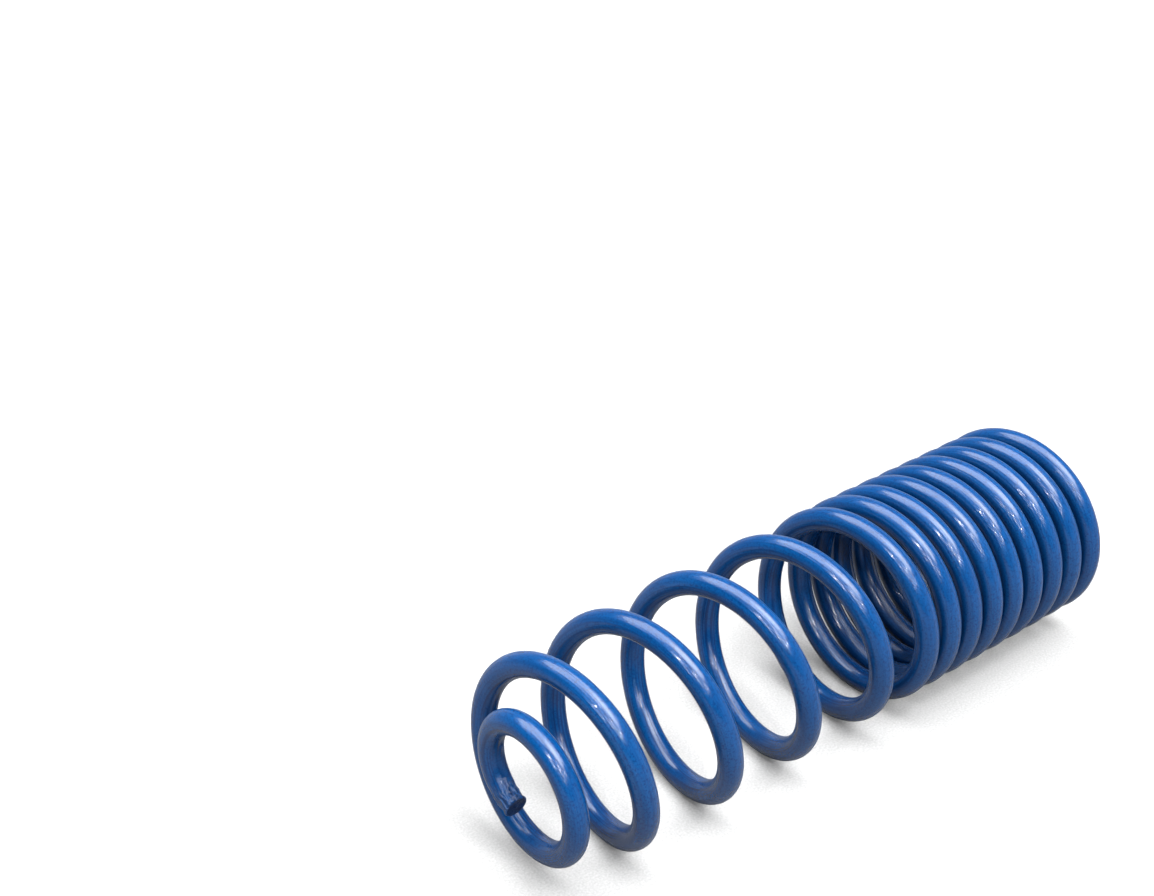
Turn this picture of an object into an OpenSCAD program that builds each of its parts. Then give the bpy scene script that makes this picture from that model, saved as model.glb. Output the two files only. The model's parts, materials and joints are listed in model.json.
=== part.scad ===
// Progressive-rate suspension coil spring, lying on its side with its axis along +X.
//
// It is one round steel bar wound right-handed: a small flat pigtail at the -X end, then open
// coils, then close-wound coils up to the +X end. Places along the bar are counted in turns.
// Turn 0 is on the +Y side at axis height, and the bar then goes over the top to the -Y side
// and back under the axis.
//
// The bar is divided where it passes axis height, so that each node is half a turn. There the
// bar stands upright, and each half turn can twist on the next about a vertical line, as the
// bar itself twists when the spring is compressed.

/* [Bar] */
// Diameter of the spring steel bar
bar_d = 12.5; // [9:0.5:15]

/* [Coil] */
// Mean diameter of a full coil
coil_d = 99; // [90:0.5:120]
// Axial advance of one open turn
open_pitch = 52.3; // [35:0.1:60]
// Axial advance of one close-wound turn
close_pitch = 16.6; // [16:0.1:20]
// Half turns in the bar, the two end ones included
half_turns = 28; // [24:2:32]
// Part of a turn that the bar runs on past the last half turn
seat_extra = 0.04; // [0:0.01:0.1]

/* [Pigtail] */
// Radius of the bar's centre line at the cut end of the pigtail
tip_r = 20.8; // [18:0.1:30]
// Part of a turn that the bar starts before turn 0
tip_turn = 0.207; // [0.1:0.001:0.24]
// Turn at which the pigtail has grown to a full coil
grown_turn = 2; // [1.4:0.01:2.5]
// How far the middle of the pigtail lies to the -Y side at the cut end
side_shift = 2.5; // [0:0.1:5]

/* [Pitch] */
// Turn at which the bar starts to leave the flat end
lift_turn = 0.15; // [0.1:0.01:0.4]
// Turn at which the coils are fully open
open_turn = 1.57; // [1.4:0.01:1.8]
// Turn at which the open coils start to close up
closing_turn = 4.28; // [3.5:0.01:4.4]
// Turn from which the coils are close-wound
closed_turn = 5.68; // [5.5:0.01:5.9]

/* [Hidden] */
bar_r = bar_d / 2;
coil_r = coil_d / 2;
axis_z = coil_r + bar_r;
// Gap between the faces of two half turns, so that they can twist freely
face_gap = 0.12;
// Flats round the bar, and rings along half a turn: an odd number, so that a flat rests below
flats = 16;
rings = 19;
last = half_turns - 1;
end_turn = half_turns / 2 + seat_extra;
// How gently the pigtail starts to grow, and how gently it eases into the full coil
growth_start = 1.5;
growth_ease = 4;
// A step small enough to measure the bar's direction over
step = 0.001;

// Turns gained at full pitch by turn t, where the pitch rises steadily from turn a to turn b
function gained(t, a, b) = t <= a ? 0 : t >= b ? t - (a + b) / 2 : pow(t - a, 2) / (2 * (b - a));

// Share of the change from one pitch to the other that is reached at turn t
function reached(t, a, b) = max(0, min(1, (t - a) / (b - a)));

// Axial place of the bar's centre line at turn t, measured from the flat end
function along(t) = open_pitch * gained(t, lift_turn, open_turn)
    - (open_pitch - close_pitch) * gained(t, closing_turn, closed_turn);

// Share of the pigtail's growth that is still to come at turn t
function to_grow(t) = pow(1 - pow(reached(t, -tip_turn, grown_turn), growth_start), growth_ease);

// Radius of the bar's centre line at turn t
function coil_radius(t) = coil_r - (coil_r - tip_r) * to_grow(t);

// The flat end's centre line is half of the spring's length from the origin, less half a bar
start_x = bar_r - (along(end_turn) + bar_d) / 2;

// Point on the bar's centre line at turn t
function centre(t) = [
    start_x + along(t),
    coil_radius(t) * cos(360 * t) - side_shift * to_grow(t),
    axis_z + coil_radius(t) * sin(360 * t)
];

// Way the bar runs at turn t
function ahead(t) = let (chord = centre(t + step) - centre(t - step)) chord / norm(chord);

// The outline of the bar at turn t. It lies in the half plane through the axis, so that the faces
// between half turns are level.
function ring(t) = let (run = ahead(t)) [
    for (i = [0:flats - 1])
        let (
            u = 360 * i / flats,
            way = [sin(u), cos(u) * cos(360 * t), cos(u) * sin(360 * t)]
        )
        centre(t) + way * bar_r / sqrt(1 - pow(way * run, 2))
];

// The bar from turn a to turn b
module bar(a, b) {
    steps = round(2 * (b - a) * rings);
    points = [for (j = [0:steps]) each ring(a + (b - a) * j / steps)];
    start_face = [for (i = [0:flats - 1]) i];
    end_face = [for (i = [flats - 1:-1:0]) steps * flats + i];
    sides = [
        for (j = [0:steps - 1], i = [0:flats - 1])
            let (here = j * flats, next = (i + 1) % flats)
            [here + next, here + i, here + flats + i, here + flats + next]
    ];
    polyhedron(points, concat([start_face, end_face], sides));
}

// Part of a turn that half the gap takes up at turn t
function half_gap(t) = face_gap / 2 / (2 * PI * coil_radius(t));

function half_name(k) =
    k == 0 ? "pigtail_end" :
    k == last ? "seat_end" :
    str("half_turn_", k < 10 ? "0" : "", k);

module half_turn(k) {
    from = k == 0 ? -tip_turn : k / 2 + half_gap(k / 2);
    to = k == last ? end_turn : (k + 1) / 2 - half_gap((k + 1) / 2);
    color("royalblue") bar(from, to);
}

for (k = [0:last]) {
    half_turn(k);
}
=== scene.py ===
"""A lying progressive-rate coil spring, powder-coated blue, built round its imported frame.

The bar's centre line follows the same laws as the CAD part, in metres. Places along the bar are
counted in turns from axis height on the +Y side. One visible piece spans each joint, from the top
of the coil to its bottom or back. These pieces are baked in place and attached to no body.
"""

import json
import math

import bpy
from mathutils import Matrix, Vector, noise


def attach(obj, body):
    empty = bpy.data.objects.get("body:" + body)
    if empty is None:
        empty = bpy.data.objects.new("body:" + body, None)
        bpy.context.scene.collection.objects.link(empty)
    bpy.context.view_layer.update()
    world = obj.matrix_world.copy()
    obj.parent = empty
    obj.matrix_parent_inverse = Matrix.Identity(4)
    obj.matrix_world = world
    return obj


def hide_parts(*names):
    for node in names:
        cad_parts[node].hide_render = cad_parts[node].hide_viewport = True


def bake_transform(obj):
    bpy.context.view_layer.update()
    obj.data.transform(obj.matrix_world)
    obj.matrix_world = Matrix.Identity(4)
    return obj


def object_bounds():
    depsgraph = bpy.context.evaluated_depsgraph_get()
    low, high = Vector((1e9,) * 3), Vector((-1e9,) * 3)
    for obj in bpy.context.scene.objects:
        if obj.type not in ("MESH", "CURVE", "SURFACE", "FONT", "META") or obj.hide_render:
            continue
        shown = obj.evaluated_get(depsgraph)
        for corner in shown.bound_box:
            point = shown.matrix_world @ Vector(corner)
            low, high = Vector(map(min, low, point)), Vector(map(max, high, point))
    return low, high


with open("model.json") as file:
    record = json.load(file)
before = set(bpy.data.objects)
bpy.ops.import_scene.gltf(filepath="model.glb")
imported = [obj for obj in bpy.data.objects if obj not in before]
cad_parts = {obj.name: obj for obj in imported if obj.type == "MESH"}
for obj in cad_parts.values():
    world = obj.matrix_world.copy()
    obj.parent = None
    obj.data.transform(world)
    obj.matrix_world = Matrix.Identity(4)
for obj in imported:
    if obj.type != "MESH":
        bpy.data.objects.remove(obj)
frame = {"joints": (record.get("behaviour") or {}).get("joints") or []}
CAD_BOX = [list(corner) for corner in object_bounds()]

# ---------------------------------------------------------------- the bar's centre line
# Radii, pitches and the shift are in metres. TIP, GROWN, LIFT, CLOSING and END turns are places.
BAR_R = 0.00625
COIL_R = 0.0495
AXIS_Z = COIL_R + BAR_R
OPEN_PITCH = 0.0523
CLOSE_PITCH = 0.0166
TIP_R = 0.0208
TIP_TURN = -0.207
GROWN_TURN = 2.0
GROWTH_START = 1.5
GROWTH_EASE = 4
SIDE_SHIFT = 0.0025
LIFT_TURNS = (0.15, 1.57)
CLOSING_TURNS = (4.28, 5.68)
END_TURN = 14.04
START_X = CAD_BOX[0][0] + BAR_R
CHORD_STEP = 1e-3

# ---------------------------------------------------------------- the visible mesh
# A piece reaches a quarter of a turn to each side of its joint.
SIDES = 48
RINGS_PER_TURN = 180
QUARTER = 0.25
SEAT_TURN = 13.75
SLOPE_STEP = 0.01
SAME_PLACE = 1e-5


def gained(t, a, b):
    """Turns gained at full pitch by turn t, where the pitch rises steadily from turn a to turn b."""
    if t <= a:
        return 0.0
    if t >= b:
        return t - (a + b) / 2
    return (t - a) ** 2 / (2 * (b - a))


def along(t):
    """Axial place of the centre line at turn t, from the flat end."""
    fall = OPEN_PITCH - CLOSE_PITCH
    return OPEN_PITCH * gained(t, *LIFT_TURNS) - fall * gained(t, *CLOSING_TURNS)


def place(t):
    """The centre line's point at turn t."""
    grown = min(1.0, max(0.0, (t - TIP_TURN) / (GROWN_TURN - TIP_TURN)))
    to_grow = (1 - grown**GROWTH_START) ** GROWTH_EASE
    r = COIL_R - (COIL_R - TIP_R) * to_grow
    angle = math.tau * t
    y = r * math.cos(angle) - SIDE_SHIFT * to_grow
    return Vector((START_X + along(t), y, AXIS_Z + r * math.sin(angle)))


def directions(t):
    """Unit vectors at turn t: ahead along the bar, out from the coil, and aside."""
    ahead = (place(t + CHORD_STEP) - place(t - CHORD_STEP)).normalized()
    angle = math.tau * t
    out = Vector((0, math.cos(angle), math.sin(angle)))
    out = (out - ahead * out.dot(ahead)).normalized()
    return ahead, out, ahead.cross(out)


def bar_lengths(count=4000):
    """Length of the bar from its tip, as a table at even steps of turn."""
    span = END_TURN - TIP_TURN
    table, last = [0.0], place(TIP_TURN)
    for i in range(1, count + 1):
        here = place(TIP_TURN + span * i / count)
        table.append(table[-1] + (here - last).length)
        last = here
    return table


LENGTHS = bar_lengths()


def length_at(t):
    """Length of bar from the tip to turn t."""
    f = (t - TIP_TURN) / (END_TURN - TIP_TURN) * (len(LENGTHS) - 1)
    i = min(max(int(f), 0), len(LENGTHS) - 2)
    return LENGTHS[i] + (LENGTHS[i + 1] - LENGTHS[i]) * (f - i)


# ---------------------------------------------------------------- the cut ends
# A cut end has a rounded edge and a dished face with a small nub, and the bar is dented next to it.
EDGE = 0.0009
EDGE_STEPS = 6
DISH = 0.00035
FACE_RINGS = 10
NUB_R = 0.0011
NUB_H = 0.00045
DENT_DEPTH = 0.0013
DENT_SCALE = (150, 240, 240)
DENTS_RISE = 0.0015
DENTS_FADE = 0.007
DENTS_STOP = 0.015


def dent(spot):
    """How far the bar is pressed in at a spot. Only its last lengths are, short of the cut's edge."""
    from_end = min(spot.x, LENGTHS[-1] - spot.x)
    share = min(1.0, (from_end - EDGE) / DENTS_RISE, (DENTS_STOP - from_end) / DENTS_FADE)
    if share <= 0:
        return 0.0
    where = Vector([distance * scale for distance, scale in zip(spot, DENT_SCALE)])
    return DENT_DEPTH * share * abs(noise.noise(where))


def end_profile():
    """Rings of a cut end as (height above the end plane, radius), from the bar's side inwards."""
    rings = []
    for i in range(1, EDGE_STEPS + 1):
        angle = math.pi / 2 * i / EDGE_STEPS
        rings.append((EDGE * (math.sin(angle) - 1), BAR_R - EDGE * (1 - math.cos(angle))))
    face_r = BAR_R - EDGE
    for i in range(1, FACE_RINGS):
        r = face_r * (1 - i / FACE_RINGS)
        height = -DISH * (1 - (r / face_r) ** 2)
        if r < NUB_R:
            height += NUB_H * (1 - (r / NUB_R) ** 2)
        rings.append((height, r))
    return rings


def add_end(t, way, verts, normals, faces, spots):
    """Closes the tube at turn t with a cut face that looks along the bar times way."""
    ahead, out, aside = directions(t)
    centre = place(t)
    previous = 0 if way < 0 else len(verts) - SIDES
    for height, r in end_profile():
        first = len(verts)
        for i in range(SIDES):
            angle = math.tau * i / SIDES
            ray = out * math.cos(angle) + aside * math.sin(angle)
            verts.append(centre + ray * r + ahead * way * height)
            normals.append((0, 0, 0))
            spots.append((length_at(t), r * math.cos(angle), r * math.sin(angle)))
        for i in range(SIDES):
            j = (i + 1) % SIDES
            quad = (previous + i, previous + j, first + j, first + i)
            faces.append(quad if way > 0 else quad[::-1])
        previous = first
    middle = len(verts)
    verts.append(centre + ahead * way * (NUB_H - DISH))
    normals.append((0, 0, 0))
    spots.append((length_at(t), 0, 0))
    for i in range(SIDES):
        j = (i + 1) % SIDES
        tri = (previous + i, previous + j, middle)
        faces.append(tri if way > 0 else tri[::-1])


def bar_piece(name, start, end, cut=0):
    """The bar from turn start to turn end. cut is -1 if the start is a cut face, 1 if the end is."""
    edge_turns = EDGE / (length_at(start + SLOPE_STEP) - length_at(start)) * SLOPE_STEP
    low = start + edge_turns if cut < 0 else start
    high = end - edge_turns if cut > 0 else end
    steps = max(2, round((high - low) * RINGS_PER_TURN))
    verts, normals, faces, spots = [], [], [], []
    for s in range(steps + 1):
        t = low + (high - low) * s / steps
        _, out, aside = directions(t)
        centre = place(t)
        for i in range(SIDES):
            angle = math.tau * i / SIDES
            ray = out * math.cos(angle) + aside * math.sin(angle)
            spot = Vector((length_at(t), BAR_R * math.cos(angle), BAR_R * math.sin(angle)))
            depth = dent(spot)
            verts.append(centre + ray * (BAR_R - depth))
            normals.append((0, 0, 0) if depth else ray)
            spots.append(spot)
    for s in range(steps):
        for i in range(SIDES):
            j = (i + 1) % SIDES
            a, b = s * SIDES, (s + 1) * SIDES
            faces.append((a + i, a + j, b + j, b + i))
    side_faces = len(faces)
    if cut:
        add_end(start if cut < 0 else end, cut, verts, normals, faces, spots)
    mesh = bpy.data.meshes.new(name)
    mesh.from_pydata(verts, [], faces)
    attribute = mesh.attributes.new("bar_spot", "FLOAT_VECTOR", "POINT")
    attribute.data.foreach_set("vector", [c for v in spots for c in v])
    mesh.materials.append(COAT)
    mesh.materials.append(CUT_FACE)
    for polygon in mesh.polygons:
        polygon.use_smooth = True
        if polygon.index >= side_faces + EDGE_STEPS * SIDES:
            polygon.material_index = 1
    mesh.normals_split_custom_set_from_vertices(normals)
    mesh.validate()
    piece = bpy.data.objects.new(name, mesh)
    bpy.context.scene.collection.objects.link(piece)
    return piece


# ---------------------------------------------------------------- materials
class Nodes:
    """A short way to write the node tree of a material or of the world."""

    def __init__(self, owner, shader="Principled BSDF"):
        self.owner = owner
        owner.use_nodes = True
        self.tree = owner.node_tree
        self.shader = self.tree.nodes[shader]

    def add(self, kind, values=None, **settings):
        """A new node. Of its values, an output is linked and anything else is set on the socket."""
        node = self.tree.nodes.new(kind)
        for key, value in settings.items():
            setattr(node, key, value)
        for key, value in (values or {}).items():
            if hasattr(value, "is_output"):
                self.tree.links.new(value, node.inputs[key])
            else:
                node.inputs[key].default_value = value
        return node

    def link(self, output, socket):
        """Links an output to a socket of the shader."""
        self.tree.links.new(output, self.shader.inputs[socket])

    def set(self, **values):
        """Sets the shader's own sockets. An underscore stands for a space in a socket's name."""
        for key, value in values.items():
            self.shader.inputs[key.replace("_", " ")].default_value = value

    def noise(self, where, scale, detail=3.0, roughness=0.5):
        values = {"Vector": where, "Scale": scale, "Detail": detail, "Roughness": roughness}
        return self.add("ShaderNodeTexNoise", values).outputs["Fac"]

    def math(self, operation, *values):
        node = self.add("ShaderNodeMath", dict(enumerate(values)), operation=operation)
        return node.outputs["Value"]

    def bar_spot(self):
        """Where a point is in the bar: length from the tip, outwards and aside."""
        return self.add("ShaderNodeAttribute", attribute_name="bar_spot").outputs["Vector"]

    def scaled(self, where, scale):
        return self.add("ShaderNodeMapping", {"Vector": where, "Scale": scale}).outputs["Vector"]

    def ramp(self, value, low, high, bottom=0.0, top=1.0, shape="LINEAR"):
        values = {"Value": value, "From Min": low, "From Max": high, "To Min": bottom, "To Max": top}
        return self.add("ShaderNodeMapRange", values, interpolation_type=shape).outputs["Result"]

    def mix(self, factor, a, b):
        node = self.add("ShaderNodeMix", data_type="RGBA")
        self.tree.links.new(factor, node.inputs["Factor"])
        for socket, value in ((node.inputs[6], a), (node.inputs[7], b)):
            if hasattr(value, "is_output"):
                self.tree.links.new(value, socket)
            else:
                socket.default_value = value
        return node.outputs[2]

    def bump(self, height, strength, distance, normal=None):
        values = {"Height": height, "Strength": strength, "Distance": distance}
        if normal is not None:
            values["Normal"] = normal
        return self.add("ShaderNodeBump", values).outputs["Normal"]


# Tones are linear, scales are per metre, and each relief is a bump's strength and distance.
PAINT_TONES = ((0.0012, 0.045, 0.166, 1), (0.0015, 0.055, 0.194, 1))
LINE_TONE = (0.0006, 0.017, 0.078, 1)
PORE_TONE = (0.0006, 0.022, 0.095, 1)
DUST_TONE = (0.03, 0.10, 0.27, 1)
# Painted shade: the dark tone mixed into the paint where coils shut one another in.
PAINTED_SHADE_TONE = (0.0004, 0.008, 0.04, 1)
CUT_TONES = ((0.0005, 0.006, 0.028, 1), (0.001, 0.018, 0.075, 1))
LINE_SCALE = (14, 1100, 1100)
CRINKLE_SCALE = (190, 600, 600)
SAW_SCALE = (100, 2600, 240)
CLOUD_SCALE = 24.0
PEEL_SCALE = 420.0
PORE_SCALE = 900.0
DUST_SCALE = 1500.0
CUT_CLOUD_SCALE = 300.0
CRINKLE_RELIEF = (0.9, 0.0032)
LINE_RELIEF = (0.45, 0.0004)
PEEL_RELIEF = (0.14, 0.0004)
PORE_RELIEF = (0.22, 0.00025)
SAW_RELIEF = (0.5, 0.0004)
CUT_CLOUD_RELIEF = (0.6, 0.0012)
# Painted shade: how far the occlusion test looks, shorter outside the coil and longer inside it.
PAINTED_SHADE_REACH = (0.03, 0.09)
CRINKLES_FULL = 0.008
CRINKLES_STOP = 0.016


def powder_coat():
    """Gloss blue powder coat: orange peel, the bar's draw lines below, light dust, crinkled ends, and
    painted shade where coils shut one another in.
    """
    m = Nodes(bpy.data.materials.new("powder_coat"))
    spot = m.bar_spot()
    length, outwards, _ = m.add("ShaderNodeSeparateXYZ", {"Vector": spot}).outputs
    lines = m.noise(m.scaled(spot, LINE_SCALE), 1.0, 2.0)
    peel = m.noise(spot, PEEL_SCALE, 2.0)
    pores = m.noise(spot, PORE_SCALE, 2.0)
    cloud = m.noise(spot, CLOUD_SCALE, 4.0)
    specks = m.noise(spot, DUST_SCALE, 1.0)

    # The draw lines show mostly on the inside of the coil.
    inside = m.ramp(outwards, 0.5 * BAR_R, -0.5 * BAR_R, 0.3, 1.0)
    lined = m.math("MULTIPLY", m.ramp(lines, 0.45, 0.62, 0.0, 0.85), inside)
    tone = m.mix(m.ramp(cloud, 0.3, 0.7), *PAINT_TONES)
    tone = m.mix(lined, tone, LINE_TONE)
    tone = m.mix(m.ramp(pores, 0.48, 0.68, 0.0, 0.7), tone, PORE_TONE)
    tone = m.mix(m.ramp(specks, 0.70, 0.8, 0.0, 0.4), tone, DUST_TONE)

    # Painted shade: ambient occlusion darkens the paint where coils shut one another in, and the
    # inside of a coil most of all.
    reach = m.ramp(outwards, 0.2 * BAR_R, -0.8 * BAR_R, *PAINTED_SHADE_REACH)
    light = m.add("ShaderNodeAmbientOcclusion", {"Distance": reach}, samples=8).outputs["AO"]
    tone = m.mix(m.ramp(light, 0.2, 0.8, 0.9, 0.0), tone, PAINTED_SHADE_TONE)
    m.link(tone, "Base Color")

    grazing = m.add("ShaderNodeLayerWeight", {"Blend": 0.5}).outputs["Facing"]
    cloudy = m.ramp(cloud, 0.3, 0.7, 0.15, 0.23)
    m.link(m.math("ADD", cloudy, m.ramp(grazing, 0.6, 1.0, 0.0, 0.3)), "Roughness")

    near_tip = m.ramp(length, CRINKLES_STOP, CRINKLES_FULL)
    near_end = m.ramp(length, LENGTHS[-1] - CRINKLES_STOP, LENGTHS[-1] - CRINKLES_FULL)
    crinkles = m.noise(m.scaled(spot, CRINKLE_SCALE), 1.0, 1.0)
    crinkles = m.math("MULTIPLY", crinkles, m.math("MAXIMUM", near_tip, near_end))
    normal = m.bump(crinkles, *CRINKLE_RELIEF)
    normal = m.bump(lines, *LINE_RELIEF, normal)
    normal = m.bump(peel, *PEEL_RELIEF, normal)
    normal = m.bump(pores, *PORE_RELIEF, normal)
    m.link(normal, "Normal")
    m.set(Specular_IOR_Level=0.35, Coat_Weight=0.32, Coat_Roughness=0.02, IOR=1.5)
    return m.owner


def sawn_face():
    """The bar's cut end: the same coat, pulled thinner over saw marks."""
    m = Nodes(bpy.data.materials.new("cut_face"))
    spot = m.bar_spot()
    marks = m.noise(m.scaled(spot, SAW_SCALE), 1.0, 3.0)
    cloud = m.noise(spot, CUT_CLOUD_SCALE, 4.0)
    m.link(m.mix(m.ramp(cloud, 0.3, 0.7), *CUT_TONES), "Base Color")
    m.link(m.ramp(cloud, 0.3, 0.7, 0.3, 0.45), "Roughness")
    m.link(m.bump(marks, *SAW_RELIEF, m.bump(cloud, *CUT_CLOUD_RELIEF)), "Normal")
    m.set(Specular_IOR_Level=0.3)
    return m.owner


COAT = powder_coat()
CUT_FACE = sawn_face()

# ---------------------------------------------------------------- the spring
BODIES = ["pigtail_end"] + [f"half_turn_{number:02d}" for number in range(1, 27)] + ["seat_end"]

pigtail = bar_piece("bar_pigtail", TIP_TURN, QUARTER, cut=-1)
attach(pigtail, BODIES[0])
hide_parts(BODIES[0])

for number, joint in enumerate(frame["joints"], start=1):
    middle = number / 2
    hinge = Vector(joint["pos_m"])
    if (place(middle) - hinge).length > SAME_PLACE:
        raise SystemExit(f"joint {number} is not on the bar's centre line")
    start, end = middle - QUARTER, middle + QUARTER
    piece = bar_piece(f"bar_twist_{number:02d}", start, end)
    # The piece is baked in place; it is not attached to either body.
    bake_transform(piece)
    if number < len(BODIES) - 1:
        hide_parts(BODIES[number])

seat = bar_piece("bar_seat", SEAT_TURN, END_TURN, cut=1)
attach(seat, BODIES[-1])
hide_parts(BODIES[-1])

# ---------------------------------------------------------------- floor and light
FLOOR_SIZE = 10.0
FLOOR_TONE = (0.15, 0.15, 0.148, 1)
FLOOR_SEEN_TONES = ((0.31, 0.31, 0.31, 1), (0.41, 0.41, 0.41, 1))
FLOOR_GRAIN_SCALE = 900.0
FLOOR_LIFT = 0.08
LIGHT_HEIGHT = 12.0
DIFFUSE_SHARE = 0.45
PANEL_TURN = 24
LAMP_SIZE = 0.036
LAMP_RADIANCE = 2400
LAMPS = (
    (-0.95, -0.45),
    (-1.5, -0.85),
    (-0.5, -0.92),
    (-0.95, -1.23),
    (-0.1, -1.38),
    (-0.6, -1.62),
    (-1.5, -2.1),
)


def floor_material():
    """Pale matt studio floor with a faint grain. The camera alone sees it over-exposed."""
    m = Nodes(bpy.data.materials.new("studio_floor"))
    grain = m.noise(m.add("ShaderNodeTexCoord").outputs["Object"], FLOOR_GRAIN_SCALE, 2.0)
    seen = m.add("ShaderNodeLightPath").outputs["Is Camera Ray"]
    seen_tone = m.mix(m.ramp(grain, 0.3, 0.7), *FLOOR_SEEN_TONES)
    m.link(m.mix(seen, FLOOR_TONE, seen_tone), "Base Color")
    m.link(m.ramp(seen, 0.0, 1.0, 0.0, FLOOR_LIFT), "Emission Strength")
    m.set(Roughness=0.8, Specular_IOR_Level=0.1, Emission_Color=(1, 1, 1, 1))
    return m.owner


bpy.ops.mesh.primitive_plane_add(size=FLOOR_SIZE)
floor = bpy.context.object
floor.name = "studio_floor"
floor.data.materials.append(floor_material())


def studio_world(dim, pale):
    """A dim room, pale near the floor on the +X and +Y sides.

    It shows more in gloss than it lights, and behind the floor the camera sees it white.
    """
    world = bpy.data.worlds.new("studio")
    w = Nodes(world, "Background")
    where = w.add("ShaderNodeTexCoord").outputs["Generated"]
    x, y, z = w.add("ShaderNodeSeparateXYZ", {"Vector": where}).outputs
    from_x = w.ramp(x, -0.5, 0.6, dim, pale, "SMOOTHSTEP")
    from_y = w.ramp(y, 0.3, 0.95, 0.0, 0.5 * pale, "SMOOTHSTEP")
    from_z = w.ramp(z, 0.0, 0.6, 1.0, 0.3, "SMOOTHSTEP")
    room = w.math("MULTIPLY", w.math("ADD", from_x, from_y), from_z)
    rays = w.add("ShaderNodeLightPath").outputs
    share = w.math("MULTIPLY_ADD", rays["Is Diffuse Ray"], DIFFUSE_SHARE - 1, 1.0)
    seen = w.math("MULTIPLY", room, share)
    w.link(w.math("MAXIMUM", seen, rays["Is Camera Ray"]), "Strength")
    w.set(Color=(1, 1, 1, 1))
    bpy.context.scene.world = world


def panel(name, x, y, width, length, radiance, turn=0.0, height=1.0, shape="RECTANGLE"):
    """A light that looks down. Its place, size and height are in ceiling heights."""
    data = bpy.data.lights.new(name, "AREA")
    data.shape = shape
    data.size, data.size_y = width * LIGHT_HEIGHT * height, length * LIGHT_HEIGHT * height
    area = data.size * data.size_y * (math.pi / 4 if shape == "ELLIPSE" else 1)
    data.energy = radiance * math.pi * area
    light = bpy.data.objects.new(name, data)
    light.location = Vector((x, y, 1.0)) * LIGHT_HEIGHT * height
    light.rotation_euler.z = math.radians(turn)
    bpy.context.scene.collection.objects.link(light)


studio_world(dim=0.045, pale=0.5)
panel("overhead_halo", -0.2, 0.1, 1.6, 2.7, 0.7, PANEL_TURN, 1.05, "ELLIPSE")
panel("overhead", 0.06, 0.0, 0.95, 2.1, 5.8, PANEL_TURN)
panel("overhead_front", 0.25, -0.5, 0.7, 1.0, 4.4, PANEL_TURN, 0.95, "ELLIPSE")
panel("overhead_core", 0.22, -0.45, 0.4, 0.6, 3.4, PANEL_TURN, 0.9, "ELLIPSE")
for index, (x, y) in enumerate(LAMPS):
    panel(f"lamp_{index}", x, y, LAMP_SIZE, LAMP_SIZE, LAMP_RADIANCE, shape="ELLIPSE")

# ---------------------------------------------------------------- camera
CAMERA_PLACE = (-0.5627, -0.5072, 0.5856)
CAMERA_ELEVATION = math.radians(29.39)
CAMERA_HEADING = math.radians(39.2)
SENSOR_WIDTH = 36.0
FOCAL_WIDTHS = 1768.25 / 1154
NEAREST = 0.01

camera_data = bpy.data.cameras.new("camera")
camera_data.sensor_width = SENSOR_WIDTH
camera_data.lens = SENSOR_WIDTH * FOCAL_WIDTHS
camera_data.clip_start = NEAREST
camera = bpy.data.objects.new("camera", camera_data)
camera.location = CAMERA_PLACE
camera.rotation_euler = (math.pi / 2 - CAMERA_ELEVATION, 0, -CAMERA_HEADING)
bpy.context.scene.collection.objects.link(camera)
bpy.context.scene.camera = camera
bpy.context.scene.view_settings.view_transform = "Standard"
